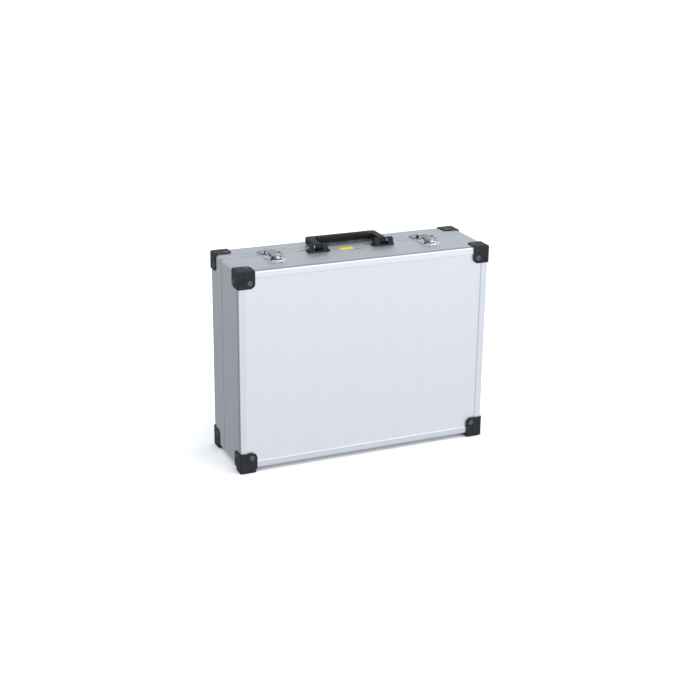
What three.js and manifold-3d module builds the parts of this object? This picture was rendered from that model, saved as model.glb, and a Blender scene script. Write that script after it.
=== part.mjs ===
// Aluminium framed carrying case: two shells of mitred extrusions, hinged along the bottom seam,
// with corner caps, a folding handle and two draw latches.
// Millimetres, +Z up, front towards -Y, origin on the ground under the middle of the case.
import * as THREE from 'three';
import { mergeVertices } from 'three/addons/utils/BufferGeometryUtils.js';
import Module from 'manifold-3d';

const wasm = await Module();
wasm.setup();

// Driving dimensions
const WIDTH = 440;
const HEIGHT = 335;
const DEPTH = 136;
const SEAM_Y = 16; // plane where the two shells meet
const FOOT = 7; // the feet lift the shells this far off the ground
const CAP_PROUD = 2; // corner caps stand this far out of the shells
const CAP_REACH = 28; // and cover this much of each edge
const SKIN = 1.6; // wall thickness of the extrusions
const FLANGE = 12; // visible border round each panel
const CORNER_R = 4; // rounding where two walls meet
const GAP = 0.3; // clearance between neighbouring pieces
const HANDLE_X = 57.5; // middle of each handle leg
const LATCH_X = 137;
const HINGE_X = 110;

const LEFT = -WIDTH / 2;
const BOTTOM = FOOT;
const TOP = FOOT + HEIGHT;
const FRONT = -DEPTH / 2;
const REAR = DEPTH / 2;
const MID_Z = (TOP + BOTTOM) / 2;

const part = new THREE.Group();

const FINISH = {
  aluminium: { color: 0xb9bec6, roughness: 0.38, metalness: 1 },
  panel: { color: 0xc9cdd4, roughness: 0.45, metalness: 0.9 },
  board: { color: 0x6d5b47, roughness: 0.8, metalness: 0 },
  chrome: { color: 0xd8d8d8, roughness: 0.12, metalness: 1 },
  steel: { color: 0xa8a8a8, roughness: 0.3, metalness: 1 },
  cap: { color: 0x2a2c2f, roughness: 0.5, metalness: 0 },
  grip: { color: 0x1d1e20, roughness: 0.65, metalness: 0 },
  foam: { color: 0x33353a, roughness: 0.95, metalness: 0 },
  label: { color: 0xd8c040, roughness: 0.4, metalness: 0 },
};

// ---- Solids -------------------------------------------------------------------------------

function toSolid(geometry) {
  const bare = new THREE.BufferGeometry();
  bare.setAttribute('position', geometry.getAttribute('position'));
  bare.setIndex(geometry.getIndex());
  const merged = mergeVertices(bare, 1e-4);
  const vertProperties = new Float32Array(merged.getAttribute('position').array);
  const triVerts = new Uint32Array(merged.getIndex().array);
  return new wasm.Manifold(new wasm.Mesh({ numProp: 3, vertProperties, triVerts }));
}

function toGeometry(solid) {
  const mesh = solid.getMesh();
  const geometry = new THREE.BufferGeometry();
  const positions = new Float32Array(mesh.numVert * 3);
  for (let i = 0; i < mesh.numVert; i += 1) {
    for (let k = 0; k < 3; k += 1) {
      positions[3 * i + k] = mesh.vertProperties[mesh.numProp * i + k];
    }
  }
  geometry.setAttribute('position', new THREE.BufferAttribute(positions, 3));
  geometry.setIndex(Array.from(mesh.triVerts));
  return geometry;
}

function joined(...solids) {
  return solids.reduce((whole, next) => whole.add(next));
}

function block([x0, x1], [y0, y1], [z0, z1]) {
  const geometry = new THREE.BoxGeometry(x1 - x0, y1 - y0, z1 - z0);
  geometry.translate((x0 + x1) / 2, (y0 + y1) / 2, (z0 + z1) / 2);
  return toSolid(geometry);
}

// An outline drawn in the two axes across `axis`, in the order X, Y, Z, swept from `from` to `to`.
function prism(shape, axis, from, to, curveSegments = 5) {
  const geometry = new THREE.ExtrudeGeometry(shape, {
    depth: to - from,
    bevelEnabled: false,
    curveSegments,
    steps: 1,
  });
  const x = new THREE.Vector3(1, 0, 0);
  const y = new THREE.Vector3(0, 1, 0);
  const z = new THREE.Vector3(0, 0, 1);
  const turn = new THREE.Matrix4();
  if (axis === 'x') {
    turn.makeBasis(y, z, x).setPosition(from, 0, 0);
  } else if (axis === 'y') {
    turn.makeBasis(x, z, y.clone().negate()).setPosition(0, to, 0);
  } else {
    turn.makeTranslation(0, 0, from);
  }
  return toSolid(geometry.applyMatrix4(turn));
}

function rod(axis, [p, q], radius, from, to, sides = 16) {
  const circle = new THREE.Shape().absarc(p, q, radius, 0, 2 * Math.PI);
  return prism(circle, axis, from, to, sides / 2);
}

function outline(points) {
  return new THREE.Shape(points.map(([p, q]) => new THREE.Vector2(p, q)));
}

// Rectangle with its own radius at each corner: low-low, high-low, high-high, low-high.
function roundedRect([p0, p1], [q0, q1], [r00, r10, r11, r01]) {
  const quarter = Math.PI / 2;
  const shape = new THREE.Shape();
  const corner = (p, q, radius, start) => {
    if (radius > 0) {
      shape.absarc(p, q, radius, start, start + quarter);
    } else {
      shape.lineTo(p, q);
    }
  };
  shape.moveTo(p0 + r00, q0);
  corner(p1 - r10, q0 + r10, r10, -quarter);
  corner(p1 - r11, q1 - r11, r11, 0);
  corner(p0 + r01, q1 - r01, r01, quarter);
  corner(p0 + r00, q0 + r00, r00, 2 * quarter);
  return shape;
}

function addPart(name, solid, finish) {
  const mesh = new THREE.Mesh(toGeometry(solid), new THREE.MeshStandardMaterial(FINISH[finish]));
  mesh.name = name;
  part.add(mesh);
  return mesh;
}

// The same piece on the other side of a plane through the origin, faces still pointing out.
function mirrored(solid, signs) {
  const geometry = toGeometry(solid);
  geometry.scale(...signs);
  if (signs[0] * signs[1] * signs[2] < 0) {
    const index = geometry.getIndex().array;
    for (let i = 0; i < index.length; i += 3) {
      [index[i], index[i + 1]] = [index[i + 1], index[i]];
    }
  }
  return toSolid(geometry);
}

const SIDES = [['left', -1], ['right', 1]];

// ---- Extruded walls -----------------------------------------------------------------------

// Sections are lists of [depth, inset]: depth from the shell's outer face, inset from the wall's.
const NOSE_R = 2.5;
const NOSE_STEPS = 5;
const SLOT = [1.6, 5.8]; // depths of the slot that holds the panel
const LIP = 9; // inset of the lip behind the panel
const RIM_GAP = GAP / 2;

function noseOuter() {
  const points = [[SLOT[0], FLANGE], [0.3, FLANGE], [0, FLANGE - 0.3]];
  for (let i = 0; i <= NOSE_STEPS; i += 1) {
    const angle = (Math.PI / 2) * (i / NOSE_STEPS);
    points.push([3 - NOSE_R * Math.cos(angle), 2.95 - NOSE_R * Math.sin(angle)]);
  }
  points.push([10, 0]);
  return points;
}

const NOSE_INNER = [[7, SKIN], [7, LIP], [SLOT[1], LIP], [SLOT[1], 1.9], [SLOT[0], 1.9]];

// Rim outlines, as [distance back from the rim, inset], from the outer face to the inner one.
const GROOVED_RIM = [
  [8.7, 0], [7.6, 0.25], [6.5, 0.05], [1.5, 0.05], [1.3, 1.1], [0, 1.1], [0, SKIN],
  [5, SKIN], [5, 4.2], [0, 4.2], [0, 5.2], [6.2, 5.2], [6.2, SKIN],
];
const TONGUED_RIM = [
  [18, 0], [16, 0.5], [9, 0.5], [7.6, 0.05], [1.5, 0.05], [1.3, 1.1], [0, 1.1], [0, 2],
  [-3, 2], [-3, 3.2], [2.4, 3.2], [2.4, 5.2], [3.6, 5.2], [3.6, SKIN],
];

function wallSection(shellDepth, rim) {
  const rimPoints = rim.map(([back, inset]) => [shellDepth - RIM_GAP - back, inset]);
  return [...noseOuter(), ...rimPoints, ...NOSE_INNER];
}

// A wall lies under its own outer face, z = 0, and is cut along 45 degree mitres at both ends.
function wall(length, section, faceY, inwardY) {
  const across = outline(section.map(([depth, inset]) => [faceY + inwardY * depth, -inset]));
  const half = length / 2;
  const mitreDepth = FLANGE + 2;
  const trim = RIM_GAP * Math.SQRT2;
  const bend = half - CORNER_R;
  const plan = new THREE.Shape();
  plan.moveTo(-half + mitreDepth + trim, -mitreDepth);
  plan.lineTo(half - mitreDepth - trim, -mitreDepth);
  plan.lineTo(half - CORNER_R - trim, -CORNER_R);
  plan.absarc(bend - trim, -CORNER_R, CORNER_R, Math.PI / 4, Math.PI / 2);
  plan.absarc(-bend + trim, -CORNER_R, CORNER_R, Math.PI / 2, (3 * Math.PI) / 4);
  plan.lineTo(-half + CORNER_R + trim, -CORNER_R);
  const bar = prism(across, 'x', -half, half);
  return bar.intersect(prism(plan, 'y', FRONT - 1, REAR + 1, 3));
}

function addWalls(shell, section, faceY, inwardY) {
  const places = [
    ['top', WIDTH, 0, [0, TOP]],
    ['right', HEIGHT, Math.PI / 2, [-LEFT, MID_Z]],
    ['bottom', WIDTH, Math.PI, [0, BOTTOM]],
    ['left', HEIGHT, -Math.PI / 2, [LEFT, MID_Z]],
  ];
  for (const [side, length, turn, [x, z]] of places) {
    const solid = wall(length, section, faceY, inwardY);
    const mesh = addPart(`${shell}_wall_${side}`, solid, 'aluminium');
    mesh.rotation.y = turn;
    mesh.position.set(x, 0, z);
  }
}

addWalls('base', wallSection(SEAM_Y - FRONT, GROOVED_RIM), FRONT, 1);
addWalls('lid', wallSection(REAR - SEAM_Y, TONGUED_RIM), REAR, -1);

// ---- Panels and foam ----------------------------------------------------------------------

const PANEL_SKIN = [1.8, 2.4]; // depths of the aluminium sheet
const PANEL_BOARD = [2.7, 5.5]; // and of the board behind it
const PANEL_INSET = 2.3;
const FOAM_INSET = 2.2;
const FOAM_START = 7.3; // just inside the lip that holds the panel
const BASE_FOAM = 6;
const LID_FOAM = 20;

function sheet(inset, y) {
  return block([LEFT + inset, -LEFT - inset], y, [BOTTOM + inset, TOP - inset]);
}

const PANEL_LAYERS = [['skin', PANEL_SKIN, 'panel'], ['board', PANEL_BOARD, 'board']];
for (const [layer, [near, far], finish] of PANEL_LAYERS) {
  addPart(`front_panel_${layer}`, sheet(PANEL_INSET, [FRONT + near, FRONT + far]), finish);
  addPart(`rear_panel_${layer}`, sheet(PANEL_INSET, [REAR - far, REAR - near]), finish);
}
const baseFoamY = FRONT + FOAM_START;
const lidFoamY = REAR - FOAM_START;
addPart('base_foam', sheet(FOAM_INSET, [baseFoamY, baseFoamY + BASE_FOAM]), 'foam');
addPart('lid_foam', sheet(FOAM_INSET, [lidFoamY - LID_FOAM, lidFoamY]), 'foam');

// ---- Corner caps and inner corner angles --------------------------------------------------

// Built at the corner of a shell, with a, b and c running inwards along X, Y and Z.
const CAP_EDGE_R = 3.5;
const CAP_FREE_R = 9;
const FOOT_A = 26.5;
const FOOT_B = 22;

function cornerCap(hasFoot) {
  const span = [-CAP_PROUD, CAP_REACH];
  const face = roundedRect(span, span, [CAP_EDGE_R, 0, CAP_FREE_R, 0]);
  let cap = prism(face, 'x', ...span).intersect(prism(face, 'y', ...span));
  cap = cap.intersect(prism(face, 'z', ...span));
  const inside = [-GAP, CAP_REACH + 1];
  // The broad face reaches down onto the sunk panel inside the flanges.
  const overPanel = [FLANGE + GAP, CAP_REACH + 2];
  const fill = block(overPanel, [-GAP - 1, PANEL_SKIN[0] - GAP], overPanel);
  cap = cap.subtract(block(inside, inside, inside).subtract(fill));
  if (!hasFoot) {
    return cap;
  }
  const plan = roundedRect([-CAP_PROUD, FOOT_A], [-CAP_PROUD, FOOT_B], [CAP_EDGE_R, 1, 5, 1]);
  const side = outline([
    [-CAP_PROUD, -1], [-CAP_PROUD, -FOOT + 1], [-CAP_PROUD + 1, -FOOT],
    [FOOT_B - 5, -FOOT], [FOOT_B - 4, -FOOT + 1], [FOOT_B, -1],
  ]);
  const foot = prism(plan, 'z', -FOOT, -1).intersect(prism(side, 'x', -CAP_PROUD, FOOT_A));
  return cap.add(foot);
}

const ANGLE_THICK = 2;
const ANGLE_LEG = 30;

function cornerAngle(y0, y1) {
  const near = SKIN + GAP;
  const far = near + ANGLE_THICK;
  const section = new THREE.Shape();
  section.moveTo(near, near);
  section.lineTo(ANGLE_LEG, near);
  section.lineTo(ANGLE_LEG, far);
  section.lineTo(far + 3, far);
  section.absarc(far + 3, far + 3, 3, -Math.PI / 2, -Math.PI, true);
  section.lineTo(far, ANGLE_LEG);
  section.lineTo(near, ANGLE_LEG);
  return prism(section, 'y', y0, y1, 5);
}

const SHELLS = [['base', 'front', 1, FRONT, [16, 46]], ['lid', 'rear', -1, REAR, [30, 46]]];
for (const [shell, cap, inY, y, [angle0, angle1]] of SHELLS) {
  for (const [side, sx] of SIDES) {
    for (const [end, sz, z] of [['top', -1, TOP], ['bottom', 1, BOTTOM]]) {
      const signs = [-sx, inY, sz];
      const corner = [sx * -LEFT, y, z];
      const capSolid = mirrored(cornerCap(end === 'bottom'), signs);
      addPart(`${cap}_cap_${end}_${side}`, capSolid, 'cap').position.set(...corner);
      const angle = mirrored(cornerAngle(angle0, angle1), signs);
      addPart(`${shell}_angle_${end}_${side}`, angle, 'steel').position.set(...corner);
    }
  }
}

// ---- Carrying handle ----------------------------------------------------------------------

const PIVOT_Y = 3;
const PIVOT_Z = 7.5; // above the top of the case
const LEG = 12; // width of a leg
const LEG_Z = [2.5, 12.5];
const BARREL_R = 5.2;
const PIN_R = 1.6;
const BAR_Y = [33, 51];
const GRIP_X = 46;
const CORE_Y = [36, 48];
const CORE_Z = [4.5, 10.5];
const OUTER_X = HANDLE_X + LEG / 2;
const INNER_X = HANDLE_X - LEG / 2;

function handleFrame() {
  const plan = roundedRect([-OUTER_X, OUTER_X], [PIVOT_Y, BAR_Y[1]], [0, 0, 7, 7]);
  const loop = roundedRect([-INNER_X, INNER_X], [PIVOT_Y - 10, BAR_Y[0]], [0, 0, 4, 4]);
  let frame = prism(plan, 'z', ...LEG_Z, 6).subtract(prism(loop, 'z', 0, 20, 6));
  const sleeveRoom = block([-GRIP_X, GRIP_X], [BAR_Y[0] - 1, BAR_Y[1] + 1], [0, 20]);
  frame = frame.subtract(sleeveRoom);
  frame = frame.add(block([-GRIP_X - 1, GRIP_X + 1], CORE_Y, CORE_Z));
  for (const [, sx] of SIDES) {
    const ends = [sx * INNER_X, sx * OUTER_X].sort((p, q) => p - q);
    frame = frame.add(rod('x', [PIVOT_Y, PIVOT_Z], BARREL_R, ...ends));
  }
  return frame.subtract(rod('x', [PIVOT_Y, PIVOT_Z], PIN_R + GAP, -OUTER_X - 1, OUTER_X + 1));
}

function handleGrip() {
  const section = roundedRect([BAR_Y[0] - 0.5, BAR_Y[1] + 0.5], [2, 13.5], [4, 4, 4, 4]);
  const ends = [-GRIP_X + GAP, GRIP_X - GAP];
  const room = block([-GRIP_X, GRIP_X], [CORE_Y[0] - GAP, CORE_Y[1] + GAP],
    [CORE_Z[0] - GAP, CORE_Z[1] + GAP]);
  return prism(section, 'x', ...ends, 5).subtract(room);
}

const BRACKET_X = [38.5, 76.5];
const BRACKET_Y = [-5, 11];
const BRACKET_PLATE = [GAP, LEG_Z[0] - GAP];
const EARS = [[42, INNER_X - 0.4], [OUTER_X + 2.5, 75]];

function handleBracket() {
  const plate = prism(roundedRect(BRACKET_X, BRACKET_Y, [3, 3, 3, 3]), 'z', ...BRACKET_PLATE, 4);
  const ear = new THREE.Shape();
  ear.moveTo(BRACKET_Y[0] + 0.5, BRACKET_PLATE[0]);
  ear.lineTo(BRACKET_Y[1] - 0.5, BRACKET_PLATE[0]);
  ear.lineTo(PIVOT_Y + BARREL_R, PIVOT_Z);
  ear.absarc(PIVOT_Y, PIVOT_Z, BARREL_R, 0, Math.PI);
  const solid = EARS.reduce((whole, ends) => whole.add(prism(ear, 'x', ...ends, 8)), plate);
  return solid.subtract(rod('x', [PIVOT_Y, PIVOT_Z], PIN_R + GAP, 0, 100));
}

addPart('handle_frame', handleFrame(), 'grip').position.z = TOP;
addPart('handle_grip', handleGrip(), 'grip').position.z = TOP;
for (const [side, sx] of SIDES) {
  const bracket = mirrored(handleBracket(), [sx, 1, 1]);
  addPart(`handle_bracket_${side}`, bracket, 'cap').position.z = TOP;
  const pin = mirrored(rod('x', [PIVOT_Y, PIVOT_Z], PIN_R, 42.5, 74.5), [sx, 1, 1]);
  addPart(`handle_pin_${side}`, pin, 'steel').position.z = TOP;
}

const BACKING = block([-86, 86], [-12, 9], [-SKIN - GAP - 2, -SKIN - GAP]);
addPart('handle_backing_strip', BACKING, 'steel').position.z = TOP;

const LABEL = prism(roundedRect([-20, 22], [-6, 7], [1, 1, 1, 1]), 'z', GAP, GAP + 0.4, 2);
addPart('label_plate', LABEL, 'label').position.z = TOP;

// ---- Draw latches -------------------------------------------------------------------------

// Each latch is built about its own middle, z = 0 on top of the case.
const PLATE_Z = [GAP, GAP + 1.2];
const LEVER_PIVOT = [-1, 5.5]; // y and z of the lever's rivets
const CLAW_PIVOT = [-9, 4.6];
const RIVET_R = 1.3;
const CLAW_PIN_R = 1.1;
const CHEEK_X = [10.3, 11.5];
const LEVER_SIDE_X = [8.6, 9.8];
const LEVER_TOP = [7.8, 9];
const LEVER_Y = [-28, -13];
const KEY_Y = -20.5;
const KEY_R = 3.5;
const CLAW_HALF = 6.5;

function bothSides([x0, x1], make) {
  return make(x0, x1).add(make(-x1, -x0));
}

function latchBase() {
  const plan = roundedRect([-16.5, 16.5], [-30, 9], [11, 11, 3, 3]);
  const cheek = outline([[-15, PLATE_Z[0]], [5, PLATE_Z[0]], [4.5, 6.5], [2, 8.6], [-4, 8.6],
    [-14.5, 5.5]]);
  const cheeks = bothSides(CHEEK_X, (x0, x1) => prism(cheek, 'x', x0, x1));
  const plate = prism(plan, 'z', ...PLATE_Z, 6);
  return plate.add(cheeks).subtract(rod('x', LEVER_PIVOT, RIVET_R + GAP, -20, 20));
}

function latchLever() {
  const half = LEVER_SIDE_X[1];
  const tab = roundedRect([-half, half], [LEVER_Y[0], LEVER_Y[1]], [7, 7, 0, 0]);
  const flange = new THREE.Shape();
  flange.moveTo(LEVER_Y[0] + 8, LEVER_TOP[1] - 0.5);
  flange.lineTo(LEVER_Y[0] + 10, 3.2);
  flange.lineTo(LEVER_PIVOT[0], LEVER_PIVOT[1] - 2.9);
  flange.absarc(...LEVER_PIVOT, 2.9, -Math.PI / 2, Math.PI / 2);
  flange.lineTo(LEVER_Y[1] + 2, LEVER_TOP[1]);
  flange.lineTo(LEVER_Y[1] - 4, LEVER_TOP[1]);
  const flanges = bothSides(LEVER_SIDE_X, (x0, x1) => prism(flange, 'x', x0, x1));
  let lever = prism(tab, 'z', ...LEVER_TOP, 6).add(flanges);
  lever = lever.subtract(rod('x', LEVER_PIVOT, RIVET_R + GAP, -20, 20));
  lever = lever.subtract(rod('x', CLAW_PIVOT, CLAW_PIN_R + GAP, -20, 20));
  return lever.subtract(rod('z', [0, KEY_Y], KEY_R + GAP, 0, 20, 20));
}

function latchClaw() {
  const ends = [-CLAW_HALF, CLAW_HALF];
  const eye = rod('x', CLAW_PIVOT, 2.3, ...ends);
  const strap = block(ends, [CLAW_PIVOT[0], 24.5], [4, 5.2]);
  const hook = rod('x', [24.5, 5.5], 1.5, ...ends, 12);
  return joined(strap, eye, hook).subtract(rod('x', CLAW_PIVOT, CLAW_PIN_R + GAP, -20, 20));
}

function latchKeeper() {
  const plate = prism(roundedRect([-16.5, 16.5], [18.5, 38], [3, 3, 8, 8]), 'z', ...PLATE_Z, 6);
  const lip = outline([[20, PLATE_Z[0]], [24.5, PLATE_Z[0]], [23.6, 3.6], [22, 3.6]]);
  return plate.add(prism(lip, 'x', -9, 9));
}

function keyCylinder() {
  const barrel = rod('z', [0, KEY_Y], KEY_R, 2.6, 9.6, 20);
  const cam = block([0, 6.8], [KEY_Y - 1.6, KEY_Y + 1.6], [2.6, 4]);
  const slot = block([-0.5, 0.5], [KEY_Y - 2.2, KEY_Y + 2.2], [7.5, 10]);
  return barrel.add(cam).subtract(slot);
}

for (const [side, sx] of SIDES) {
  const latch = new THREE.Group();
  latch.position.set(sx * LATCH_X, 0, TOP);
  const pivotRivet = (name, ends) => {
    latch.add(addPart(name, rod('x', LEVER_PIVOT, RIVET_R, ...ends), 'steel'));
  };
  const rivetX = [LEVER_SIDE_X[0] - 0.3, CHEEK_X[1] + 0.5];
  latch.add(addPart(`latch_base_${side}`, latchBase(), 'chrome'));
  latch.add(addPart(`latch_lever_${side}`, latchLever(), 'chrome'));
  latch.add(addPart(`latch_claw_${side}`, latchClaw(), 'chrome'));
  latch.add(addPart(`latch_keeper_${side}`, latchKeeper(), 'chrome'));
  latch.add(addPart(`latch_key_cylinder_${side}`, keyCylinder(), 'chrome'));
  const clawPin = rod('x', CLAW_PIVOT, CLAW_PIN_R, -LEVER_SIDE_X[1], LEVER_SIDE_X[1], 14);
  latch.add(addPart(`latch_claw_pin_${side}`, clawPin, 'steel'));
  pivotRivet(`latch_rivet_a_${side}`, [-rivetX[1], -rivetX[0]]);
  pivotRivet(`latch_rivet_b_${side}`, rivetX);
  part.add(latch);
}

// ---- Hinges under the bottom seam ---------------------------------------------------------

const KNUCKLE_R = 3;
const HINGE_PIN_R = 1.3;
const HINGE_Z = BOTTOM - GAP - KNUCKLE_R;
const LEAF_Z = [BOTTOM - GAP - 1.2, BOTTOM - GAP];
const LEAF_REACH = 22;
const KNUCKLES = 5;
const KNUCKLE_WIDTH = 9;

// inY is -1 for the base's leaf and 1 for the lid's; the base has the odd knuckles.
function hingeLeaf(inY) {
  const start = -(KNUCKLES * KNUCKLE_WIDTH) / 2;
  const span = (near, far) => [SEAM_Y + inY * near, SEAM_Y + inY * far].sort((p, q) => p - q);
  let leaf = block([start, -start], span(KNUCKLE_R + 0.5, LEAF_REACH), LEAF_Z);
  for (let i = inY < 0 ? 0 : 1; i < KNUCKLES; i += 2) {
    const x = [start + i * KNUCKLE_WIDTH + GAP / 2, start + (i + 1) * KNUCKLE_WIDTH - GAP / 2];
    leaf = leaf.add(block(x, span(0, KNUCKLE_R + 1), LEAF_Z));
    leaf = leaf.add(rod('x', [SEAM_Y, HINGE_Z], KNUCKLE_R, ...x));
  }
  return leaf.subtract(rod('x', [SEAM_Y, HINGE_Z], HINGE_PIN_R + GAP, start - 1, 1 - start));
}

for (const [side, sx] of SIDES) {
  const reach = (KNUCKLES * KNUCKLE_WIDTH) / 2;
  const pin = rod('x', [SEAM_Y, HINGE_Z], HINGE_PIN_R, -reach, reach, 12);
  addPart(`hinge_base_leaf_${side}`, hingeLeaf(-1), 'steel').position.x = sx * HINGE_X;
  addPart(`hinge_lid_leaf_${side}`, hingeLeaf(1), 'steel').position.x = sx * HINGE_X;
  addPart(`hinge_pin_${side}`, pin, 'steel').position.x = sx * HINGE_X;
}

export default part;
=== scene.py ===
import math

import bmesh
import bpy
from mathutils import Matrix, Vector


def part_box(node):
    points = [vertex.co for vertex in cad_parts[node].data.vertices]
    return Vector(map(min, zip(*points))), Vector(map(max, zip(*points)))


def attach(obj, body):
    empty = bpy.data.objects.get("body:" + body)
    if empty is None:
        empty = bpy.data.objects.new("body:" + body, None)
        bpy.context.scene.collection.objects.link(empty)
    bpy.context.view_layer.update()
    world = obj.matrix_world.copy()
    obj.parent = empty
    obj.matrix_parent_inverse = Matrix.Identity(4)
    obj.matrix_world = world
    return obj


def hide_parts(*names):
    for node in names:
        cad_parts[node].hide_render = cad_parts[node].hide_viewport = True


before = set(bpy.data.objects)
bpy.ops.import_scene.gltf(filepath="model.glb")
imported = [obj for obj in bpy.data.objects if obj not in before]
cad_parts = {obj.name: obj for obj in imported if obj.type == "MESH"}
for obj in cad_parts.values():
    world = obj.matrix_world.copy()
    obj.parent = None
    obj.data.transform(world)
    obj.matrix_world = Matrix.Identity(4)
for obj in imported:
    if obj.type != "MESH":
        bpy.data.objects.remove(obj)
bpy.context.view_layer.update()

# Looks of an aluminium framed carrying case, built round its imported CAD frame.
# Metres, front towards -Y, +Z up. Sizes written in millimetres are multiplied by MM.
MM = 0.001
X, Y, Z = range(3)
SIDES = (("left", -1), ("right", 1))
ENDS = (("top", 1), ("bottom", -1))
SHELLS = (("base", "front", -1), ("lid", "rear", 1))  # shell, its big face, way that face looks
WALL_RUNS = (("top", X), ("bottom", X), ("left", Z), ("right", Z))


def union_box(nodes):
    """Lowest and highest corner round several CAD nodes."""
    boxes = [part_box(node) for node in nodes]
    lo = Vector([min(box[0][axis] for box in boxes) for axis in range(3)])
    hi = Vector([max(box[1][axis] for box in boxes) for axis in range(3)])
    return lo, hi


CASE_LO, CASE_HI = union_box(f"{shell}_wall_{run}" for shell, *_ in SHELLS for run, _ in WALL_RUNS)

# ---- Camera, floor and light ------------------------------------------------------------------

VIEW_AZIMUTH = math.radians(-23.594)
VIEW_ELEVATION = math.radians(19.965)
VIEW_ROLL = math.radians(0.733)
VIEW_DISTANCE = 2.3171
VIEW_CENTRE = Vector((0.0, 0.0, 0.187))
VIEW_SLIP = (-0.0001, -0.0218)  # how far the camera slides right and up from looking at the centre
FOCAL_LENGTH = 70.74


def add_camera():
    """Camera that sees the case as in the main view."""
    cos_el = math.cos(VIEW_ELEVATION)
    back = Vector((math.sin(VIEW_AZIMUTH) * cos_el, -math.cos(VIEW_AZIMUTH) * cos_el,
                   math.sin(VIEW_ELEVATION)))
    level = Vector((math.cos(VIEW_AZIMUTH), math.sin(VIEW_AZIMUTH), 0.0))
    turn = Matrix.Rotation(VIEW_ROLL, 3, back)
    right, up = turn @ level, turn @ back.cross(level)
    place = VIEW_CENTRE + back * VIEW_DISTANCE + right * VIEW_SLIP[0] + up * VIEW_SLIP[1]
    data = bpy.data.cameras.new("camera")
    data.lens = FOCAL_LENGTH
    data.sensor_width = 36.0
    camera = bpy.data.objects.new("camera", data)
    axes = Matrix((right, up, back)).transposed()
    camera.matrix_world = Matrix.Translation(place) @ axes.to_4x4()
    bpy.context.scene.collection.objects.link(camera)
    bpy.context.scene.camera = camera


def tree_node(tree, kind, inputs=None, **properties):
    """A shader node whose inputs are each linked to a socket or set to a value."""
    node = tree.nodes.new(kind)
    for name, value in properties.items():
        setattr(node, name, value)
    for name, value in (inputs or {}).items():
        if isinstance(value, bpy.types.NodeSocket):
            tree.links.new(value, node.inputs[name])
        else:
            node.inputs[name].default_value = value
    return node


# Brightness of the room light in a direction: the sum of these weights times the named products
# of its X, Y and Z, dimmed where it looks up and back at the ceiling behind the case.
ROOM_LIGHT = {"": 0.90, "X": 0.18, "Y": -0.27, "Z": 0.48, "YZ": -0.08, "XYZ": -1.0}
ROOM_TINT = (0.94, 0.965, 1.0)
CEILING_DIM = 0.7
CEILING_FROM = (0.43, 0.58)  # heights of direction between which the ceiling sets in
CEILING_BACK = (-0.1, 0.5)  # and how far back the direction points meanwhile
OVERHEAD_LEAN = (12, 10)  # degrees about X and Y
SOFTBOXES = (  # name, place, aim, size, power
    ("key", (1.7, -2.6, 1.3), (0.0, 0.0, 0.15), (1.4, 1.2), 6),
    ("edge_light", (1.2, -1.1, 2.8), (0.0, 0.0, 0.3), (1.6, 0.5), 2.5),
)
FLOOR_HALF = 12.0


def add_world():
    """Soft room light, brighter in front of the case and on its right than on its left."""
    world = bpy.data.worlds.new("studio")
    world.use_nodes = True
    tree = world.node_tree
    direction = tree_node(tree, "ShaderNodeTexCoord").outputs["Generated"]
    parts = tree_node(tree, "ShaderNodeSeparateXYZ", {"Vector": direction}).outputs

    def maths(operation, first, second):
        inputs = {0: first, 1: second}
        return tree_node(tree, "ShaderNodeMath", inputs, operation=operation).outputs["Value"]

    level = 0.0
    for product, weight in ROOM_LIGHT.items():
        term = weight
        for axis in product:
            term = maths("MULTIPLY", parts[axis], term)
        level = maths("ADD", level, term)

    def rises(axis, start, end, height):
        inputs = {"Value": parts[axis], "From Min": start, "From Max": end, "To Min": 0.0,
                  "To Max": height}
        return tree_node(tree, "ShaderNodeMapRange", inputs,
                         interpolation_type="SMOOTHSTEP").outputs["Result"]

    dark = maths("MULTIPLY", rises("Z", *CEILING_FROM, CEILING_DIM),
                 rises("Y", *CEILING_BACK, 1.0))
    level = maths("MULTIPLY", level, maths("SUBTRACT", 1.0, dark))
    background = tree.nodes["Background"]
    background.inputs["Color"].default_value = (*ROOM_TINT, 1.0)
    tree.links.new(level, background.inputs["Strength"])
    bpy.context.scene.world = world


def add_overhead_light(strength, spread):
    """One even light from above, which keeps the floor pale and isn't mirrored in the metal."""
    data = bpy.data.lights.new("overhead", "SUN")
    data.energy = strength
    data.angle = math.radians(spread)
    light = bpy.data.objects.new("overhead", data)
    light.rotation_euler = (*map(math.radians, OVERHEAD_LEAN), 0.0)
    light.visible_glossy = False
    bpy.context.scene.collection.objects.link(light)


def add_softbox(name, place, aim, size, power):
    """Lit rectangle that shines, and is mirrored, from one side."""
    data = bpy.data.lights.new(name, "AREA")
    data.shape = "RECTANGLE"
    data.size, data.size_y = size
    data.energy = power
    light = bpy.data.objects.new(name, data)
    light.location = place
    light.rotation_euler = (Vector(aim) - Vector(place)).to_track_quat("-Z", "Y").to_euler()
    bpy.context.scene.collection.objects.link(light)


def add_floor(material):
    """Level ground under the case, which its metal doesn't mirror."""
    mesh = bpy.data.meshes.new("floor")
    signs = ((-1, -1), (1, -1), (1, 1), (-1, 1))
    corners = [(x * FLOOR_HALF, y * FLOOR_HALF, 0.0) for x, y in signs]
    mesh.from_pydata(corners, [], [(0, 1, 2, 3)])
    mesh.materials.append(material)
    floor = bpy.data.objects.new("floor", mesh)
    bpy.context.scene.collection.objects.link(floor)
    floor.visible_glossy = False


# ---- Materials --------------------------------------------------------------------------------


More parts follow.
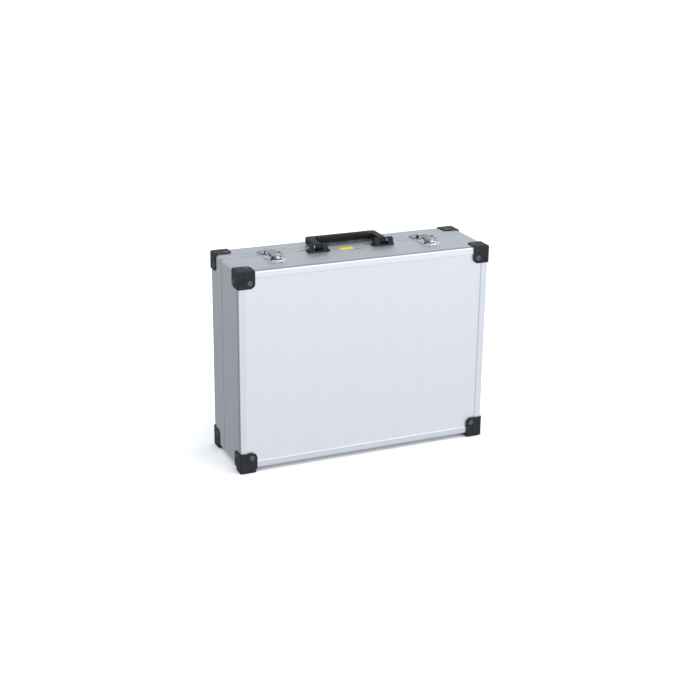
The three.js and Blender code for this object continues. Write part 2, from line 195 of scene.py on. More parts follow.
class Finish:
    """A Principled material with short ways to add the textures that drive it."""

    def __init__(self, name, plain):
        self.material = bpy.data.materials.new(name)
        self.material.use_nodes = True
        self.tree = self.material.node_tree
        self.shader = self.tree.nodes["Principled BSDF"]
        for socket, value in plain.items():
            self.shader.inputs[socket].default_value = value
        self.position = tree_node(self.tree, "ShaderNodeTexCoord").outputs["Object"]

    def scaled(self, grain):
        """Position counted in grains: their size is in millimetres along X, Y and Z."""
        rate = [1 / (size * MM) for size in grain]
        inputs = {"Vector": self.position, "Scale": rate}
        return tree_node(self.tree, "ShaderNodeMapping", inputs).outputs["Vector"]

    def noise(self, grain, detail=2.0, rough=0.5):
        """Soft clouds of this grain."""
        inputs = {"Vector": self.scaled(grain), "Scale": 1.0, "Detail": detail, "Roughness": rough}
        return tree_node(self.tree, "ShaderNodeTexNoise", inputs).outputs["Fac"]

    def cells(self, grain):
        """Distance from the middle of the nearest cell of this grain."""
        inputs = {"Vector": self.scaled(grain), "Scale": 1.0}
        return tree_node(self.tree, "ShaderNodeTexVoronoi", inputs).outputs["Distance"]

    def blend(self, factor, low, high, start=0.3, end=0.7):
        """From low to high, both numbers or both colours, as factor goes from start to end."""
        if isinstance(low, float):
            inputs = {"Value": factor, "From Min": start, "From Max": end, "To Min": low,
                      "To Max": high}
            return tree_node(self.tree, "ShaderNodeMapRange", inputs).outputs["Result"]
        ramp = tree_node(self.tree, "ShaderNodeValToRGB", {"Fac": factor})
        for stop, place, colour in zip(ramp.color_ramp.elements, (start, end), (low, high)):
            stop.position = place
            stop.color = (*colour, 1.0)
        return ramp.outputs["Color"]

    def maths(self, operation, *operands):
        """One sum, product or comparison of numbers and sockets."""
        inputs = dict(enumerate(operands))
        return tree_node(self.tree, "ShaderNodeMath", inputs, operation=operation).outputs["Value"]

    def along(self, axis):
        """Position along one axis, in metres."""
        parts = tree_node(self.tree, "ShaderNodeSeparateXYZ", {"Vector": self.position})
        return parts.outputs[axis]

    def mix(self, factor, first, second):
        """From the first colour to the second as factor goes from 0 to 1.

        The sockets go by number, since the node has others of the same names.
        """
        inputs = {0: factor, 6: first, 7: second}
        return tree_node(self.tree, "ShaderNodeMix", inputs, data_type="RGBA").outputs[2]

    def bump(self, height, depth, strength, under=None):
        """Relief of this depth in millimetres, on top of another one if that is given."""
        inputs = {"Height": height, "Distance": depth * MM, "Strength": strength}
        if under:
            inputs["Normal"] = under
        return tree_node(self.tree, "ShaderNodeBump", inputs).outputs["Normal"]

    def drive(self, **sources):
        """Links textures to the shader, by socket names written with underscores."""
        for name, source in sources.items():
            self.tree.links.new(source, self.shader.inputs[name.replace("_", " ")])
        return self.material


def drawn_metal(name, run, low, high, roughness, band=3.0, painted_shade_bands=()):
    """Satin anodised aluminium with the fine lines and faint bands of its drawing direction.

    Each painted shade band is its middle in Y, the four distances from there between which it
    rises, holds and falls, in millimetres, and its tone: a darker colour painted in where shade
    falls.
    """
    finish = Finish(name, {"Metallic": 1.0})
    fine, wide = [0.35] * 3, [band] * 3
    fine[run] = 150.0
    wide[run] = 700.0
    lines = finish.noise(fine, detail=3.0)
    bands = finish.noise(wide, detail=1.0)
    tone = finish.blend(bands, low, high)
    for middle, (rise, full, hold, fall), shade_tone in painted_shade_bands:
        away = finish.maths("ABSOLUTE", finish.maths("SUBTRACT", finish.along(Y), middle * MM))
        within = finish.maths("MULTIPLY", finish.blend(away, 0.0, 1.0, rise * MM, full * MM),
                              finish.blend(away, 1.0, 0.0, hold * MM, fall * MM))
        # Painted shade: over each band the metal's colour is swapped for a darker tone that stands
        # for shade.
        tone = finish.mix(within, tone, (*shade_tone, 1.0))
    return finish.drive(
        Base_Color=tone,
        Roughness=finish.blend(lines, *roughness),
        Normal=finish.bump(lines, 0.004, 0.5),
    )


def moulded_plastic(name, low, high, grain, roughness):
    """Black plastic with a fine pebbled skin and faint paler patches."""
    finish = Finish(name, {"Specular IOR Level": 0.10})
    pebbles = finish.cells((grain,) * 3)
    patches = finish.noise((9.0,) * 3, detail=4.0)
    return finish.drive(
        Base_Color=finish.blend(patches, low, high),
        Roughness=finish.blend(patches, *roughness),
        Normal=finish.bump(pebbles, 0.05, 0.35),
    )


def plated_steel(name, low, high, roughness, grain=6.0):
    """Plated steel, a little uneven in gloss and very slightly rippled by pressing."""
    finish = Finish(name, {"Metallic": 1.0})
    ripple = finish.noise((grain,) * 3, detail=1.0)
    specks = finish.noise((0.5,) * 3, detail=3.0)
    return finish.drive(
        Base_Color=finish.blend(specks, low, high),
        Roughness=finish.blend(ripple, *roughness),
        Normal=finish.bump(ripple, 0.05, 0.25),
    )


def open_foam(name, low, high):
    """Charcoal foam with small open cells, painted darker in their hollows as shade."""
    finish = Finish(name, {"Roughness": 0.95, "Sheen Weight": 0.15, "Specular IOR Level": 0.2})
    cells = finish.cells((1.1,) * 3)
    patches = finish.noise((14.0,) * 3, detail=3.0)
    pores = finish.bump(cells, 0.5, 0.7)
    return finish.drive(
        # Painted shade: the colour darkens towards each cell's middle, where its bump sinks into a
        # hollow.
        Base_Color=finish.blend(cells, low, high, 0.1, 0.8),
        Normal=finish.bump(patches, 0.6, 0.3, under=pores),
    )


def pressed_board(name):
    """Brown hardboard with short flat fibres."""
    finish = Finish(name, {"Roughness": 0.85})
    fibres = finish.noise((3.0, 3.0, 0.5), detail=5.0, rough=0.7)
    return finish.drive(
        Base_Color=finish.blend(fibres, (0.10, 0.065, 0.038), (0.20, 0.14, 0.085)),
        Normal=finish.bump(fibres, 0.1, 0.4),
    )


def printed_film(name, split):
    """Blank label of two fields, yellow up to split along X and silver grey beyond it."""
    finish = Finish(name, {"Roughness": 0.35, "Coat Weight": 0.3, "Coat Roughness": 0.2})
    side = finish.maths("GREATER_THAN", finish.along(X), split)
    mottle = finish.noise((2.5,) * 3, detail=3.0)
    yellow = finish.blend(mottle, (0.66, 0.47, 0.03), (0.78, 0.57, 0.05))
    grey = finish.blend(mottle, (0.24, 0.24, 0.29), (0.31, 0.31, 0.37))
    return finish.drive(Base_Color=finish.mix(side, yellow, grey))


def studio_floor(name):
    """Pale floor that lets light and the view through from below."""
    finish = Finish(name, {"Roughness": 0.9, "Specular IOR Level": 0.1})
    cloud = finish.noise((900.0,) * 3)
    finish.drive(Base_Color=finish.blend(cloud, (0.86, 0.87, 0.88), (0.88, 0.89, 0.90)))
    below = tree_node(finish.tree, "ShaderNodeNewGeometry").outputs["Backfacing"]
    clear = tree_node(finish.tree, "ShaderNodeBsdfTransparent").outputs["BSDF"]
    both = tree_node(finish.tree, "ShaderNodeMixShader", {0: below, 2: clear})
    finish.tree.links.new(finish.shader.outputs["BSDF"], both.inputs[1])
    output = finish.tree.nodes["Material Output"].inputs["Surface"]
    finish.tree.links.new(both.outputs["Shader"], output)
    return finish.material


# Painted shade: a darker band along each wall's nose, standing in for the shade of its tilted
# strip beside the edge.
NOSE_PAINTED_SHADE = 0.0, (59.5, 61.0, 65.0, 66.5), (0.54, 0.57, 0.62)
# Painted shadow: a near-black band over the seam groove, standing in for the shadow inside it.
SEAM_PAINTED_SHADOW = 16.0, (-2.0, -1.0, 1.3, 1.7), (0.15, 0.16, 0.18)
PAINTED_SHADE_BANDS = (NOSE_PAINTED_SHADE, SEAM_PAINTED_SHADOW)
ALUMINIUM_TONES = (0.74, 0.77, 0.81), (0.80, 0.83, 0.87)
SHEET_TONES = (0.82, 0.83, 0.87), (0.835, 0.845, 0.885)
extrusion = {
    X: drawn_metal("anodised_along_x", X, *ALUMINIUM_TONES, (0.44, 0.54), painted_shade_bands=PAINTED_SHADE_BANDS),
    Z: drawn_metal("anodised_along_z", Z, *ALUMINIUM_TONES, (0.44, 0.54), painted_shade_bands=PAINTED_SHADE_BANDS),
}
panel_metal = drawn_metal("brushed_sheet", Z, *SHEET_TONES, (0.38, 0.48), band=5.0)
cap_plastic = moulded_plastic("cap_plastic", (0.015, 0.016, 0.020), (0.023, 0.025, 0.029), 0.6,
                              (0.36, 0.48))
grip_plastic = moulded_plastic("grip_plastic", (0.007, 0.007, 0.008), (0.013, 0.013, 0.015), 0.4,
                               (0.34, 0.48))
rivet_black = plated_steel("black_rivet", (0.10, 0.105, 0.115), (0.16, 0.165, 0.18), (0.20, 0.32))
chrome = plated_steel("bright_chrome", (0.72, 0.73, 0.76), (0.80, 0.81, 0.84), (0.10, 0.20))
nickel = plated_steel("nickel_plate", (0.34, 0.35, 0.37), (0.44, 0.45, 0.47), (0.10, 0.20))
zinc = plated_steel("zinc_plate", (0.50, 0.51, 0.53), (0.62, 0.63, 0.66), (0.26, 0.42), 3.0)
foam = open_foam("charcoal_foam", (0.018, 0.019, 0.022), (0.050, 0.052, 0.058))
board = pressed_board("hardboard")

# ---- Making pieces ----------------------------------------------------------------------------

FLAT_ANGLE = 1.0  # degrees: CAD triangles nearer to level than this are one face
EDGE_ANGLE = 30.0  # degrees: sharper edges than this are rounded
RIVET_SINK = 0.1 * MM  # of a rivet head's flat back below the surface


def smooth(mesh, sharp=35.0):
    """Smooth shading that keeps edges sharper than this many degrees."""
    mesh.shade_smooth()
    mesh.set_sharp_from_angle(angle=math.radians(sharp))


def level_normals(piece):
    """Keeps big flat faces flat in the shading next to small rounded ones."""
    weighted = piece.modifiers.new("level_normals", "WEIGHTED_NORMAL")
    weighted.keep_sharp = True


def add_piece(name, shape, material, body, replaces=(), sharp=35.0, is_open=False):
    """Turns a bmesh into a piece of the model, riding on a body."""
    mesh = bpy.data.meshes.new(name)
    if not is_open:
        bmesh.ops.recalc_face_normals(shape, faces=shape.faces)
    shape.to_mesh(mesh)
    shape.free()
    smooth(mesh, sharp)
    mesh.materials.append(material)
    piece = bpy.data.objects.new(name, mesh)
    bpy.context.scene.collection.objects.link(piece)
    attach(piece, body)
    if replaces:
        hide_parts(*replaces)
    return piece


def paint(node, material, sharp=20.0):
    """Gives a CAD node its material, and smooth shading up to edges of sharp degrees."""
    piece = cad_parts[node]
    piece.data.materials.clear()
    piece.data.materials.append(material)
    piece.data.shade_smooth()
    weld = piece.modifiers.new("weld", "WELD")
    weld.merge_threshold = 0.0001 * MM
    if sharp:
        piece.modifiers.new("part_edges", "EDGE_SPLIT").split_angle = math.radians(sharp)
        level_normals(piece)
    return piece


def soften(node, material, width, segments=3):
    """A CAD node with its own material and its edges rounded by width millimetres."""
    piece = paint(node, material, sharp=None)
    flat = piece.modifiers.new("flat_faces", "DECIMATE")
    flat.decimate_type = "DISSOLVE"
    flat.angle_limit = math.radians(FLAT_ANGLE)
    round_off = piece.modifiers.new("round_off", "BEVEL")
    round_off.width = width * MM
    round_off.segments = segments
    round_off.limit_method = "ANGLE"
    round_off.angle_limit = math.radians(EDGE_ANGLE)
    level_normals(piece)


def rounded_ring(centre, half, radius, steps):
    """Points round a rectangle with rounded corners, with steps + 1 of them at each corner."""
    points = []
    for quarter, (sp, sq) in enumerate(((1, 1), (-1, 1), (-1, -1), (1, -1))):
        for i in range(steps + 1):
            turn = math.pi / 2 * (quarter + i / steps)
            points.append((centre[0] + sp * (half[0] - radius) + radius * math.cos(turn),
                           centre[1] + sq * (half[1] - radius) + radius * math.sin(turn)))
    return points


def bridge(shape, rings):
    """Joins each ring of points to the next one."""
    for near, far in zip(rings, rings[1:]):
        for i in range(len(near)):
            j = (i + 1) % len(near)
            shape.faces.new((near[i], near[j], far[j], far[i]))


def bridge_solid(shape, rings):
    """Joins rings of points into a solid with flat ends."""
    bridge(shape, rings)
    shape.faces.new(rings[0])
    shape.faces.new(rings[-1])


def add_turned(shape, profile, centre, axis, segments=32):
    """Adds a closed turned solid.

    Its profile is (radius, height) in metres, from one end of its axis to the other.
    """
    axis = Vector(axis).normalized()
    side = axis.orthogonal().normalized()
    other = axis.cross(side)
    rings = []
    for radius, height in profile:
        foot = Vector(centre) + axis * height
        if radius == 0:
            rings.append([shape.verts.new(foot)])
            continue
        angles = [2 * math.pi * i / segments for i in range(segments)]
        rings.append([shape.verts.new(foot + (side * math.cos(a) + other * math.sin(a)) * radius)
                      for a in angles])
    for near, far in zip(rings, rings[1:]):
        for i in range(segments):
            j = (i + 1) % segments
            corners = (near[i % len(near)], near[j % len(near)],
                       far[j % len(far)], far[i % len(far)])
            shape.faces.new(list(dict.fromkeys(corners)))


def rivet_profile(radius, height, eye=0.35):
    """Domed rivet head with a dimple in the middle, eye being the dimple's share of the radius."""
    floor, lip = 0.45 * height, 0.95 * height
    dome = [(0.0, floor), (0.6 * eye * radius, floor), (eye * radius, lip)]
    for step in range(6):
        turn = math.radians(15 * step + 8)
        share = eye + 0.06 + (0.94 - eye) * math.sin(turn)
        dome.append((radius * share, height * math.cos(turn)))
    return dome + [(radius, 0.0), (radius, -RIVET_SINK), (0.0, -RIVET_SINK)]


# ---- Walls and panels -------------------------------------------------------------------------

RIB_PITCH = 4.2 * MM
RIB_DEPTH = 0.07 * MM
RIB_STEPS = 8
SHEET_LIFT = 0.15 * MM  # ribs stand this far out of the plain CAD sheet


def finish_walls():
    """Gives each wall the metal whose drawing lines run along it."""
    for shell, *_ in SHELLS:
        for run, axis in WALL_RUNS:
            paint(f"{shell}_wall_{run}", extrusion[axis])


def add_ribbed_panel(shell, face, outward):
    """Sheet with fine upright ribs, in the slot of its shell's frame."""
    node = f"{face}_panel_skin"
    lo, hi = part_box(node)
    back, front = (hi.y, lo.y) if outward < 0 else (lo.y, hi.y)
    count = round((hi.x - lo.x) / RIB_PITCH) * RIB_STEPS
    outline = [(hi.x, back), (lo.x, back)]
    for i in range(count + 1):
        wave = 0.5 - 0.5 * math.cos(2 * math.pi * i / RIB_STEPS)
        x = lo.x + (hi.x - lo.x) * i / count
        outline.append((x, front + outward * (SHEET_LIFT - RIB_DEPTH * wave)))
    shape = bmesh.new()
    bottom, top = [[shape.verts.new((x, y, z)) for x, y in outline] for z in (lo.z, hi.z)]
    bridge(shape, [bottom, top])
    shape.faces.new(bottom)
    shape.faces.new(list(reversed(top)))
    add_piece(f"{face}_panel_sheet", shape, panel_metal, shell, [node])
    paint(f"{face}_panel_board", board)


# ---- Foam -------------------------------------------------------------------------------------

FOAM_CELL = 4 * MM
FACE_TUCK = 0.8 * MM
SIDE_TUCKS = ((0.2, 1.4 * MM), (0.0, 0.2 * MM))  # share of the depth, and how far the side is in
CREST_PITCH = 36 * MM


def add_foam(name, shell, inward, height_at):
    """Foam block: flat back on the panel, sides that pull in, and height_at to shape its face."""
    lo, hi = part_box(name)
    back, depth = (hi.y, hi.y - lo.y) if inward < 0 else (lo.y, hi.y - lo.y)
    columns, rows = round((hi.x - lo.x) / FOAM_CELL), round((hi.z - lo.z) / FOAM_CELL)
    shape = bmesh.new()

    def place(i, j, share, tuck):
        x = lo.x + (hi.x - lo.x) * i / columns
        z = lo.z + (hi.z - lo.z) * j / rows
        x += tuck * (1 if i == 0 else -1 if i == columns else 0)
        z += tuck * (1 if j == 0 else -1 if j == rows else 0)
        return shape.verts.new((x, back + inward * depth * share, z))

    def height(i, j):
        return height_at(min(i, columns - i) * FOAM_CELL, min(j, rows - j) * FOAM_CELL,
                         lo.x + i * FOAM_CELL, lo.z + j * FOAM_CELL)

    top = [[place(i, j, height(i, j), FACE_TUCK) for j in range(rows + 1)]
           for i in range(columns + 1)]
    for i in range(columns):
        for j in range(rows):
            shape.faces.new((top[i][j], top[i + 1][j], top[i + 1][j + 1], top[i][j + 1]))
    border = [(i, 0) for i in range(columns)] + [(columns, j) for j in range(rows)]
    border += [(i, rows) for i in range(columns, 0, -1)] + [(0, j) for j in range(rows, 0, -1)]
    loops = [[top[i][j] for i, j in border]]
    loops += [[place(i, j, share, tuck) for i, j in border] for share, tuck in SIDE_TUCKS]
    bridge(shape, loops)
    shape.faces.new(loops[-1])
    piece = add_piece(f"{name}_pad", shape, foam, shell, [name], sharp=60.0)


def flat_pad(from_x, from_z, x, z):
    """Even thickness, rounded off towards the rim."""
    edge = min(from_x, from_z, 10 * MM) / (10 * MM)
    return 0.80 + 0.19 * math.sin(edge * math.pi / 2)


def egg_crate(from_x, from_z, x, z):
    """Rows of rounded peaks and hollows that fade out towards the rim."""
    edge = min(from_x, from_z, 16 * MM) / (16 * MM)
    wave = math.cos(2 * math.pi * x / CREST_PITCH) * math.cos(2 * math.pi * z / CREST_PITCH)
    return 0.62 + 0.36 * wave * math.sin(edge * math.pi / 2)


# ---- Corner caps ------------------------------------------------------------------------------

CAP_PROUD = 1.4 * MM  # of the shell; the rivet heads stand out the rest of the way
CAP_THICK = 1.1 * MM
CAP_REACH = 29.4 * MM
CAP_EDGE_R = 3.0 * MM
CAP_RIM_R = 0.4 * MM
CAP_FREE_R = 9.0 * MM
CAP_SOLE_R = 1.5 * MM  # the lower edges of a cap with a foot
CAP_BEND_STEPS = 4  # divisions of a cap's face across its rounded edge, its flat part
CAP_FLAT_STEPS = 4
CAP_FREE_STEPS = 7  # and its free corner
CAP_RIVET_R = 4.4 * MM
CAP_RIVET_H = 0.6 * MM
CAP_RIVET_IN = 20.5 * MM  # from the cap's outer edges
PAD_SPAN = (13.8 * MM, 29.0 * MM)  # inside the flanges, from the cap's outer edges
PAD_FREE_R = 8.6 * MM
PAD_DEPTHS = (1.6 * MM, 2.85 * MM)
FOOT_SIZE = (27.9 * MM, 23.4 * MM)
FOOT_CHAMFER = 1.2 * MM
CORNER_STEPS = 6  # round the corners of pads and feet


def cap_lines(edge):
    """Distances from the outer corner at which a cap's faces are divided."""
    start = CAP_REACH - CAP_FREE_R
    turns = [math.radians(45 - 45 * step / CAP_BEND_STEPS) for step in range(CAP_BEND_STEPS + 1)]
    bend = [edge * (1 - math.tan(turn)) for turn in turns]
    flat = [edge + (start - edge) * (step + 1) / CAP_FLAT_STEPS for step in range(CAP_FLAT_STEPS)]
    free = [start + CAP_FREE_R * (step + 1) / CAP_FREE_STEPS for step in range(CAP_FREE_STEPS)]
    return bend + flat + free


def round_free_corner(u, v):
    """Moves a point of a square face so that the corner away from both edges is a round one."""
    start = CAP_REACH - CAP_FREE_R
    if u <= start or v <= start:
        return u, v
    s, t = (u - start) / CAP_FREE_R, (v - start) / CAP_FREE_R
    return (start + CAP_FREE_R * s * math.sqrt(1 - t * t / 2),
            start + CAP_FREE_R * t * math.sqrt(1 - s * s / 2))


def round_edges(point, radii):
    """Moves a point of a sharp corner's surface onto the corner with rounded edges."""
    middle = [max(value, radius) for value, radius in zip(point, radii)]
    away = Vector([(value - m) / r for value, m, r in zip(point, middle, radii)]).normalized()
    return [m + r * a for m, r, a in zip(middle, radii, away)]


def add_cap_shell(name, node, body, corner, inward, radii):
    """Moulded cap: three faces round a corner, with rounded edges and rounded free corners."""
    shape = bmesh.new()
    for normal in range(3):
        first, second = [axis for axis in range(3) if axis != normal]
        grid = []
        for u in cap_lines(radii[first]):
            row = []
            for v in cap_lines(radii[second]):
                point = [0.0, 0.0, 0.0]
                point[first], point[second] = round_free_corner(u, v)
                local = round_edges(point, radii)
                row.append(shape.verts.new([c + s * q for c, s, q in zip(corner, inward, local)]))
            grid.append(row)
        for i in range(len(grid) - 1):
            for j in range(len(grid[i]) - 1):
                shape.faces.new((grid[i][j], grid[i + 1][j], grid[i + 1][j + 1], grid[i][j + 1]))
    bmesh.ops.remove_doubles(shape, verts=shape.verts, dist=0.001 * MM)
    bmesh.ops.recalc_face_normals(shape, faces=shape.faces)
    shape.faces.ensure_lookup_table()
    if sum(face.normal.dot(Vector(inward)) for face in shape.faces) > 0:
        bmesh.ops.reverse_faces(shape, faces=shape.faces)
    piece = add_piece(name, shape, cap_plastic, body, [node], is_open=True)
    thick = piece.modifiers.new("thick", "SOLIDIFY")
    thick.thickness = CAP_THICK
    thick.use_even_offset = True
    rim = piece.modifiers.new("rim", "BEVEL")
    rim.width = CAP_RIM_R
    rim.segments = 3
    rim.limit_method = "ANGLE"
    rim.angle_limit = math.radians(60)
    level_normals(piece)


def add_cap_pad(name, body, corner, inward):
    """Fills the recess over the sunk panel behind a cap's broad face."""
    near, far = PAD_SPAN
    start = far - PAD_FREE_R
    plan = [(near, near), (far, near)]
    for step in range(CORNER_STEPS + 1):
        turn = math.pi / 2 * step / CORNER_STEPS
        plan.append((start + PAD_FREE_R * math.cos(turn), start + PAD_FREE_R * math.sin(turn)))
    plan.append((near, far))
    shape = bmesh.new()
    rings = []
    for depth in PAD_DEPTHS:
        rings.append([shape.verts.new((corner[X] + inward[X] * p, corner[Y] + inward[Y] * depth,
                                       corner[Z] + inward[Z] * q)) for p, q in plan])
    bridge_solid(shape, rings)
    add_piece(name, shape, cap_plastic, body, sharp=30.0)


def add_foot(name, body, corner, inward, edge):
    """Foot block that carries a lower cap's outer faces on down to the floor."""
    top = corner[Z] + CAP_SOLE_R
    shape = bmesh.new()
    rings = []
    for height, inset in ((0.0, FOOT_CHAMFER), (FOOT_CHAMFER, 0.0), (top, 0.0)):
        centre = [size / 2 for size in FOOT_SIZE]
        half = [size / 2 - inset for size in FOOT_SIZE]
        ring = [(corner[X] + inward[X] * p, corner[Y] + inward[Y] * q, height)
                for p, q in rounded_ring(centre, half, edge, CORNER_STEPS)]
        rings.append([shape.verts.new(point) for point in ring])
    bridge_solid(shape, rings)
    add_piece(name, shape, cap_plastic, body, sharp=30.0)


def add_cap_rivets(name, body, corner, inward, faces):
    """Hollow rivet heads near the free corners of a cap's faces."""
    shape = bmesh.new()
    for normal in faces:
        centre = [c + s * CAP_RIVET_IN for c, s in zip(corner, inward)]
        centre[normal] = corner[normal]
        axis = [0.0, 0.0, 0.0]
        axis[normal] = -inward[normal]
        add_turned(shape, rivet_profile(CAP_RIVET_R, CAP_RIVET_H, eye=0.5), centre, axis)
    add_piece(name, shape, rivet_black, body, sharp=50.0)


def add_caps():
    """The eight corner caps, with the steel angles behind them."""
    for shell, face, outward in SHELLS:
        for end, up in ENDS:
            for side, across in SIDES:
                inward = (-across, -outward, -up)
                corner = [(CASE_HI if s < 0 else CASE_LO)[axis] - s * CAP_PROUD
                          for axis, s in enumerate(inward)]
                place = f"{end}_{side}"
                sole = CAP_EDGE_R if up > 0 else CAP_SOLE_R
                node = f"{face}_cap_{place}"
                add_cap_shell(f"{face}_corner_{place}", node, shell, corner, inward,
                              (CAP_EDGE_R, CAP_EDGE_R, sole))
                add_cap_pad(f"{face}_corner_pad_{place}", shell, corner, inward)
                faces = (X, Y, Z) if up > 0 else (X, Y)
                add_cap_rivets(f"{face}_corner_rivets_{place}", shell, corner, inward, faces)
                if up < 0:
                    add_foot(f"{face}_foot_{side}", shell, corner, inward, CAP_EDGE_R)
                soften(f"{shell}_angle_{place}", zinc, 0.4)


# ---- Handle -----------------------------------------------------------------------------------

GRIP_RIB_PITCH = 2.6 * MM
GRIP_RIB_DEPTH = 0.45 * MM
GRIP_RIB_STEPS = 6
GRIP_COLLAR = 3 * MM  # plain length at each end
GRIP_END = ((0.0, 0.9 * MM), (0.4 * MM, 0.15 * MM))  # from the end, and how far in the surface is
GRIP_CORNER_R = 4.0 * MM
GRIP_CORNER_STEPS = 5
GRIP_BORE = (6.25 * MM, 3.25 * MM)
GRIP_BORE_R = 0.3 * MM
BUSH_R = 4.0 * MM
BUSH_SPAN = (0.2 * MM, 2.3 * MM)  # from the side of the handle's leg
BUSH_CHAMFER = 0.3 * MM
PIN_HEAD_R = 2.8 * MM
PIN_HEAD_H = 1.0 * MM
EAR_SETBACK = 1.5 * MM  # from the side of a bracket's plate to its outer ear
LABEL_SPLIT = 0.55  # the yellow field's share of the label


def add_grip():
    """Sleeve with fine ribs across it, round the handle's bar."""
    lo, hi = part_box("handle_grip")
    centre = ((lo.y + hi.y) / 2, (lo.z + hi.z) / 2)
    half = ((hi.y - lo.y) / 2, (hi.z - lo.z) / 2)
    ribbed = hi.x - lo.x - 2 * GRIP_COLLAR
    count = int(ribbed / GRIP_RIB_PITCH) * GRIP_RIB_STEPS
    stations = [(lo.x + along, inset) for along, inset in GRIP_END] + [(lo.x + GRIP_COLLAR, 0.0)]
    for i in range(1, count):
        wave = 0.5 - 0.5 * math.cos(2 * math.pi * i / GRIP_RIB_STEPS)
        stations.append((lo.x + GRIP_COLLAR + ribbed * i / count, GRIP_RIB_DEPTH * wave))
    stations.append((hi.x - GRIP_COLLAR, 0.0))
    stations += [(hi.x - along, inset) for along, inset in reversed(GRIP_END)]
    outer = [(x, [h - inset for h in half], GRIP_CORNER_R - inset) for x, inset in stations]
    bore = [(x, GRIP_BORE, GRIP_BORE_R) for x in (hi.x, lo.x)]
    shape = bmesh.new()
    rings = [[shape.verts.new((x, p, q))
              for p, q in rounded_ring(centre, size, radius, GRIP_CORNER_STEPS)]
             for x, size, radius in outer + bore]
    bridge(shape, rings + rings[:1])
    add_piece("handle_grip_sleeve", shape, grip_plastic, "handle", ["handle_grip"])


def add_pivot_caps():
    """Plated bushes beside each leg of the handle, and the pins' heads outside the brackets."""
    near, far = BUSH_SPAN
    rim = BUSH_R - BUSH_CHAMFER
    bush = [(0.0, near), (rim, near), (BUSH_R, near + BUSH_CHAMFER), (BUSH_R, far - BUSH_CHAMFER),
            (rim, far), (0.0, far)]
    for side, across in SIDES:
        pin_lo, pin_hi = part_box(f"handle_pin_{side}")
        centre = (pin_lo + pin_hi) / 2
        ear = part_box(f"handle_bracket_{side}")[0 if across < 0 else 1].x
        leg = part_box("handle_frame")[0 if across < 0 else 1].x
        shape = bmesh.new()
        add_turned(shape, bush, (leg, centre.y, centre.z), (across, 0, 0))
        face = ear - across * EAR_SETBACK
        add_turned(shape, rivet_profile(PIN_HEAD_R, PIN_HEAD_H), (face, centre.y, centre.z),
                   (across, 0, 0))
        add_piece(f"handle_pin_heads_{side}", shape, nickel, "base", sharp=50.0)


def add_handle():
    """The folding handle and the fittings that hold it."""
    add_grip()
    add_pivot_caps()
    soften("handle_frame", grip_plastic, 1.5)
    paint("handle_backing_strip", zinc)
    for side, _ in SIDES:
        soften(f"handle_bracket_{side}", cap_plastic, 0.6)
        soften(f"handle_pin_{side}", zinc, 0.3)


def add_label():
    """Blank label between the brackets."""
    lo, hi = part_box("label_plate")
    split = lo.x + LABEL_SPLIT * (hi.x - lo.x)
    soften("label_plate", printed_film("label_film", split), 0.1, segments=2)


# ---- Latches and hinges -----------------------------------------------------------------------

LATCH_LOOKS = (  # node, material, rounding of its edges in millimetres
    ("latch_base", chrome, 0.4),
    ("latch_lever", nickel, 0.4),
    ("latch_claw", nickel, 0.3),
    ("latch_keeper", nickel, 0.4),
    ("latch_key_cylinder", chrome, 0.25),
    ("latch_claw_pin", zinc, 0.25),
    ("latch_rivet_a", zinc, 0.25),
    ("latch_rivet_b", zinc, 0.25),
)
HINGE_LOOKS = (("hinge_base_leaf", 0.3), ("hinge_lid_leaf", 0.3), ("hinge_pin", 0.2))
LATCH_PLATE = 1.2 * MM  # thickness of the plates under the eyelets
EYELET_R = 1.9 * MM
EYELET_H = 0.7 * MM
EYELET_SEGMENTS = 24
# X from the latch's middle, and Y, in millimetres
BASE_EYELETS = ((-13.8, 5.0), (13.8, 5.0), (-13.8, -14.0), (13.8, -14.0))
KEEPER_EYELETS = ((-13.2, 26.0), (13.2, 26.0), (0.0, 34.0))
# Middles of the claw's ribs from that of the latch, and half their width, in millimetres
CLAW_RIBS = (-4.8, 0.0, 4.8)
CLAW_RIB_HALF = 1.5
CLAW_RIB_H = 0.9 * MM
CLAW_RIB_SINK = 0.2 * MM  # of a rib's underside into the strap
CLAW_RIB_START = -5 * MM
CLAW_RIB_LENGTH = 25 * MM
CLAW_RIB_STEPS = (12, 6)  # along it and over it
STRAP_TOP = 5.2 * MM  # the claw's upper face above the case's top


def add_eyelets(name, body, spots, middle, level):
    """Hollow rivets that hold a latch plate down on the case."""
    shape = bmesh.new()
    for x, y in spots:
        add_turned(shape, rivet_profile(EYELET_R, EYELET_H, eye=0.45),
                   (middle + x * MM, y * MM, level), (0, 0, 1), EYELET_SEGMENTS)
    add_piece(name, shape, nickel, body, sharp=50.0)


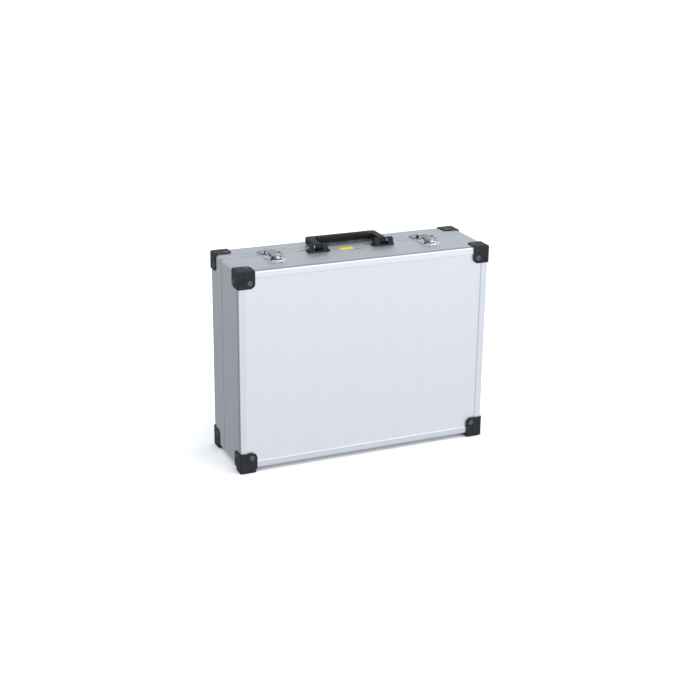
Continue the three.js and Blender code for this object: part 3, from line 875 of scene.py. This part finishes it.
def add_claw_ribs(side):
    """Three pressed ribs along the top of the claw."""
    lo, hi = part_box(f"latch_claw_{side}")
    middle = (lo.x + hi.x) / 2
    foot = CASE_HI.z + STRAP_TOP - CLAW_RIB_SINK
    lengthwise, over = CLAW_RIB_STEPS
    shape = bmesh.new()
    for x in CLAW_RIBS:
        rings = []
        for i in range(lengthwise + 1):
            along = i / lengthwise
            y = CLAW_RIB_START + CLAW_RIB_LENGTH * along
            rise = CLAW_RIB_SINK + CLAW_RIB_H * math.sqrt(max(0.0, 1 - (2 * along - 1) ** 6))
            turns = [math.pi * step / over for step in range(over + 1)]
            rings.append([shape.verts.new((middle + (x - CLAW_RIB_HALF * math.cos(turn)) * MM, y,
                                           foot + rise * math.sin(turn))) for turn in turns])
        bridge_solid(shape, rings)
    add_piece(f"latch_claw_ribs_{side}", shape, nickel, f"latch_claw_{side}", sharp=60.0)


def add_latches():
    """Both toggle latches, with the eyelets that hold their plates."""
    for side, _ in SIDES:
        for node, material, width in LATCH_LOOKS:
            soften(f"{node}_{side}", material, width)
        lo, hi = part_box(f"latch_base_{side}")
        middle = (lo.x + hi.x) / 2
        plate_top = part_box(f"latch_keeper_{side}")[0].z + LATCH_PLATE
        add_eyelets(f"latch_base_eyelets_{side}", "base", BASE_EYELETS, middle, plate_top)
        add_eyelets(f"latch_keeper_eyelets_{side}", "lid", KEEPER_EYELETS, middle, plate_top)
        add_claw_ribs(side)


def add_hinges():
    """Both strap hinges under the bottom wall."""
    for side, _ in SIDES:
        for node, width in HINGE_LOOKS:
            soften(f"{node}_{side}", zinc, width)


# ---- The whole scene --------------------------------------------------------------------------

add_camera()
add_world()
add_floor(studio_floor("pale_floor"))
add_overhead_light(strength=1.7, spread=100)
for softbox in SOFTBOXES:
    add_softbox(*softbox)
bpy.context.scene.view_settings.view_transform = "Standard"

finish_walls()
for shell_name, face_name, way_out in SHELLS:
    add_ribbed_panel(shell_name, face_name, way_out)
add_foam("base_foam", "base", 1, flat_pad)
add_foam("lid_foam", "lid", -1, egg_crate)
add_caps()
add_handle()
add_label()
add_latches()
add_hinges()
